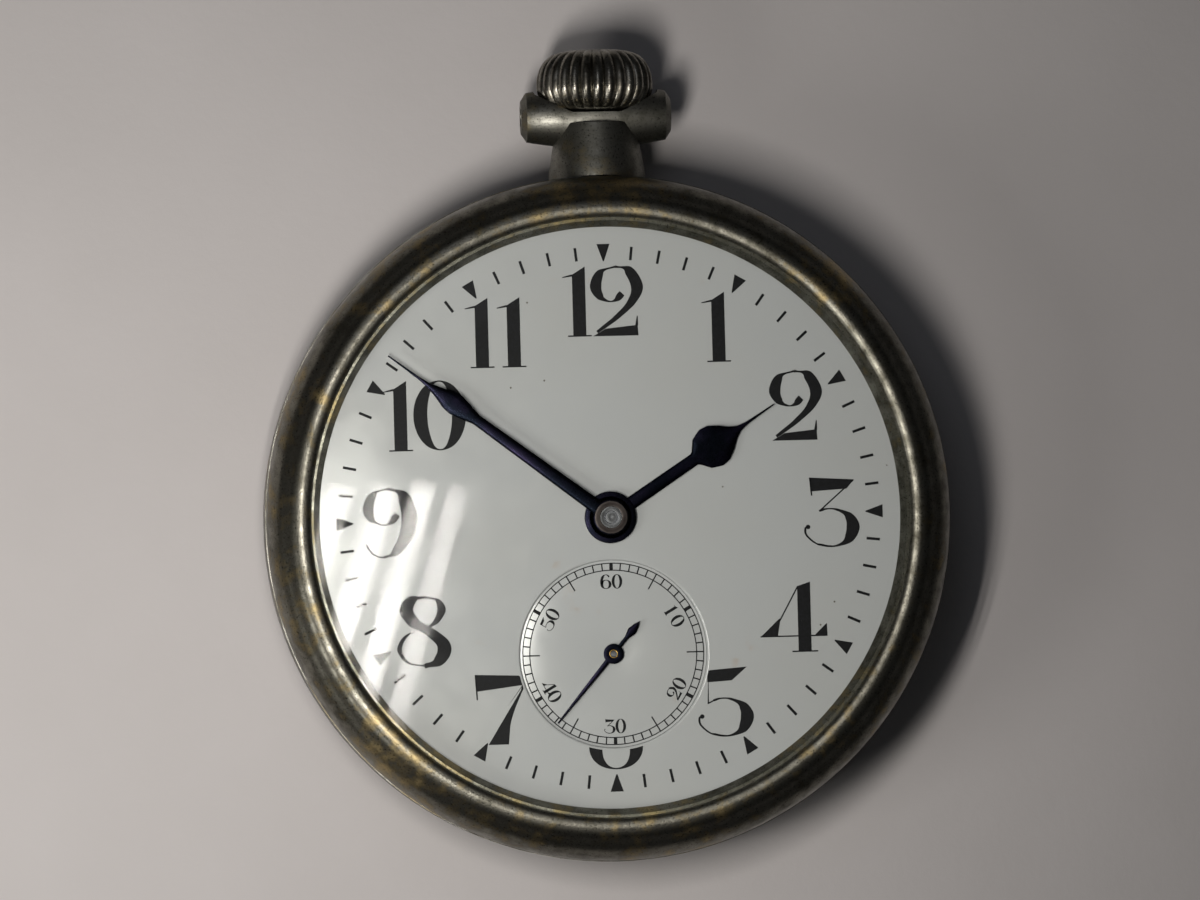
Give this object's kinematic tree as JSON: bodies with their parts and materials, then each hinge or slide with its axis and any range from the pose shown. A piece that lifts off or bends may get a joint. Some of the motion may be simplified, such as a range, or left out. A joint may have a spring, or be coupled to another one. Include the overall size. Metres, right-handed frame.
{
  "type": "open face pocket watch",
  "caption": "Open face pocket watch with sub-seconds dial, ribbed winding crown, hinged back and a hand-wound lever movement inside.",
  "frame": {"origin": "centre of the flat of the back cover, where the watch rests", "axes": "+Z from the back to the dial, +Y from the centre to 12 o'clock and the crown, +X to 3 o'clock"},
  "size_m": [0.051, 0.0606, 0.0135],
  "materials": {
    "nickel_silver": "aged and worn",
    "crown_metal": "ribbed, worn",
    "movement_plate": "nickel plated and grained",
    "gilt_brass": "gilt",
    "polished_steel": "polished",
    "blued_steel": "blued",
    "hand_steel": "blued nearly black",
    "spring_steel": "drawn",
    "ruby": "polished",
    "enamel": "fired, glossy",
    "dial_ink": "printed and fired",
    "glass": "clear"
  },
  "bodies": {
    "case": {"case_middle": "nickel_silver", "hinge_pin": "polished_steel", "pendant": "nickel_silver", "click_spring": "spring_steel", "hairspring": "blued_steel", "hairspring_stud": "polished_steel", "main_plate": "movement_plate", "fixed_jewels": "ruby", "barrel_bridge": "movement_plate", "train_bridge": "movement_plate", "pallet_cock": "movement_plate", "balance_cock": "movement_plate", "bridge_screws": "blued_steel", "case_screws": "polished_steel", "dial_screws": "polished_steel", "dial": "enamel", "seconds_dial": "enamel", "crown_wheel_screw": "polished_steel"},
    "front": {"bezel": "nickel_silver", "crystal": "glass"},
    "back": {"back_cover": "nickel_silver"},
    "dust": {"dust_cover": "gilt_brass"},
    "winding": {"winding_pinion": "polished_steel"},
    "stem": {"winding_stem": "polished_steel", "crown": "crown_metal"},
    "clutch": {"clutch_wheel": "polished_steel"},
    "crown_gear": {"crown_wheel": "polished_steel"},
    "ratchet": {"ratchet_wheel": "polished_steel", "barrel_arbor": "polished_steel", "ratchet_screw": "polished_steel"},
    "click_body": {"click": "polished_steel"},
    "barrel": {"barrel_drum": "gilt_brass", "barrel_cover": "gilt_brass", "mainspring": "spring_steel"},
    "centre": {"centre_arbor": "polished_steel", "centre_wheel": "gilt_brass"},
    "third": {"third_arbor": "polished_steel", "third_wheel": "gilt_brass"},
    "fourth": {"fourth_arbor": "polished_steel", "fourth_wheel": "gilt_brass", "seconds_hand": "hand_steel"},
    "escape": {"escape_arbor": "polished_steel", "escape_wheel": "polished_steel"},
    "lever": {"pallet_fork": "polished_steel", "pallet_stones": "ruby", "pallet_arbor": "polished_steel"},
    "balance": {"balance_wheel": "gilt_brass", "timing_screws": "gilt_brass", "balance_staff": "polished_steel", "roller": "polished_steel", "impulse_pin": "ruby"},
    "regulator_body": {"regulator": "polished_steel"},
    "cannon": {"cannon_pinion": "polished_steel", "minute_hand": "hand_steel"},
    "minute_gear": {"minute_wheel": "gilt_brass"},
    "hour_gear": {"hour_wheel": "gilt_brass", "hour_hand": "hand_steel"},
    "setting_gear": {"setting_wheel": "polished_steel"}
  },
  "joints": [
    {"name": "bezel_lift", "type": "slide", "parent": "case", "child": "front", "axis": [0, 0, 1], "range_m": [0, 0.008]},
    {"name": "back_cover_hinge", "type": "hinge", "parent": "case", "child": "back", "pos_m": [0, -0.02475, 0.0032], "axis": [-1, 0, 0], "range_deg": [0, 100]},
    {"name": "dust_cover_hinge", "type": "hinge", "parent": "case", "child": "dust", "pos_m": [0, -0.02475, 0.0032], "axis": [-1, 0, 0], "range_deg": [0, 86]},
    {"name": "crown_turn", "type": "hinge", "parent": "case", "child": "winding", "pos_m": [0, 0.01733, 0.006], "axis": [0, 1, 0], "continuous": true},
    {"name": "crown_pull", "type": "slide", "parent": "winding", "child": "stem", "axis": [0, 1, 0], "range_m": [0, 0.0008]},
    {"name": "clutch_slide", "type": "slide", "parent": "winding", "child": "clutch", "axis": [0, 1, 0], "range_m": [-0.0006, 0]},
    {"name": "crown_wheel_turn", "type": "hinge", "parent": "case", "child": "crown_gear", "pos_m": [0, 0.01483, 0.0073], "axis": [0, 0, 1], "continuous": true},
    {"name": "ratchet_turn", "type": "hinge", "parent": "case", "child": "ratchet", "pos_m": [-0.00405, 0.00701, 0.0073], "axis": [0, 0, 1], "continuous": true},
    {"name": "click_swing", "type": "hinge", "parent": "case", "child": "click_body", "pos_m": [-0.01118, 0.01019, 0.0073], "axis": [0, 0, 1], "range_deg": [0, 14]},
    {"name": "seconds_turn", "type": "hinge", "parent": "case", "child": "fourth", "pos_m": [0, -0.0101, 0.0073], "axis": [0, 0, 1], "continuous": true},
    {"name": "escape_turn", "type": "hinge", "parent": "case", "child": "escape", "pos_m": [0.0045, -0.01188, 0.0073], "axis": [0, 0, 1], "continuous": true},
    {"name": "third_turn", "type": "hinge", "parent": "case", "child": "third", "pos_m": [-0.00365, -0.00568, 0.0073], "axis": [0, 0, 1], "continuous": true},
    {"name": "centre_turn", "type": "hinge", "parent": "case", "child": "centre", "pos_m": [0, 0, 0.0073], "axis": [0, 0, 1], "continuous": true},
    {"name": "barrel_turn", "type": "hinge", "parent": "case", "child": "barrel", "pos_m": [-0.00405, 0.00701, 0.0073], "axis": [0, 0, 1], "continuous": true},
    {"name": "lever_swing", "type": "hinge", "parent": "case", "child": "lever", "pos_m": [0.00731, -0.00913, 0.0073], "axis": [0, 0, 1], "range_deg": [-5, 5]},
    {"name": "balance_swing", "type": "hinge", "parent": "case", "child": "balance", "pos_m": [0.0105, -0.006, 0.0073], "axis": [0, 0, 1], "range_deg": [-270, 270], "stiffness_Nm_per_rad": 0.0000005},
    {"name": "regulator_turn", "type": "hinge", "parent": "case", "child": "regulator_body", "pos_m": [0.0105, -0.006, 0.0073], "axis": [0, 0, 1], "range_deg": [-25, 25]},
    {"name": "minute_hand_turn", "type": "hinge", "parent": "case", "child": "cannon", "pos_m": [0, 0, 0.0073], "axis": [0, 0, 1], "continuous": true},
    {"name": "minute_wheel_turn", "type": "hinge", "parent": "case", "child": "minute_gear", "pos_m": [0, 0.005, 0.0073], "axis": [0, 0, 1], "continuous": true},
    {"name": "hour_hand_turn", "type": "hinge", "parent": "case", "child": "hour_gear", "pos_m": [0, 0, 0.0073], "axis": [0, 0, 1], "continuous": true},
    {"name": "setting_wheel_turn", "type": "hinge", "parent": "case", "child": "setting_gear", "pos_m": [0, 0.01125, 0.0073], "axis": [0, 0, 1], "continuous": true}
  ],
  "couplings": [
    {"joint": "dust_cover_hinge", "follows": "back_cover_hinge", "ratio": 0.86},
    {"joint": "clutch_slide", "follows": "crown_pull", "ratio": -0.75},
    {"joint": "crown_wheel_turn", "follows": "crown_turn", "ratio": 0.66667},
    {"joint": "ratchet_turn", "follows": "crown_turn", "ratio": -0.4},
    {"joint": "escape_turn", "follows": "seconds_turn", "ratio": -10},
    {"joint": "third_turn", "follows": "seconds_turn", "ratio": -0.13333},
    {"joint": "centre_turn", "follows": "seconds_turn", "ratio": 0.016667},
    {"joint": "barrel_turn", "follows": "seconds_turn", "ratio": -0.0020833},
    {"joint": "minute_wheel_turn", "follows": "minute_hand_turn", "ratio": -0.33333},
    {"joint": "hour_hand_turn", "follows": "minute_hand_turn", "ratio": 0.083333},
    {"joint": "setting_wheel_turn", "follows": "minute_hand_turn", "ratio": 0.5}
  ]
}
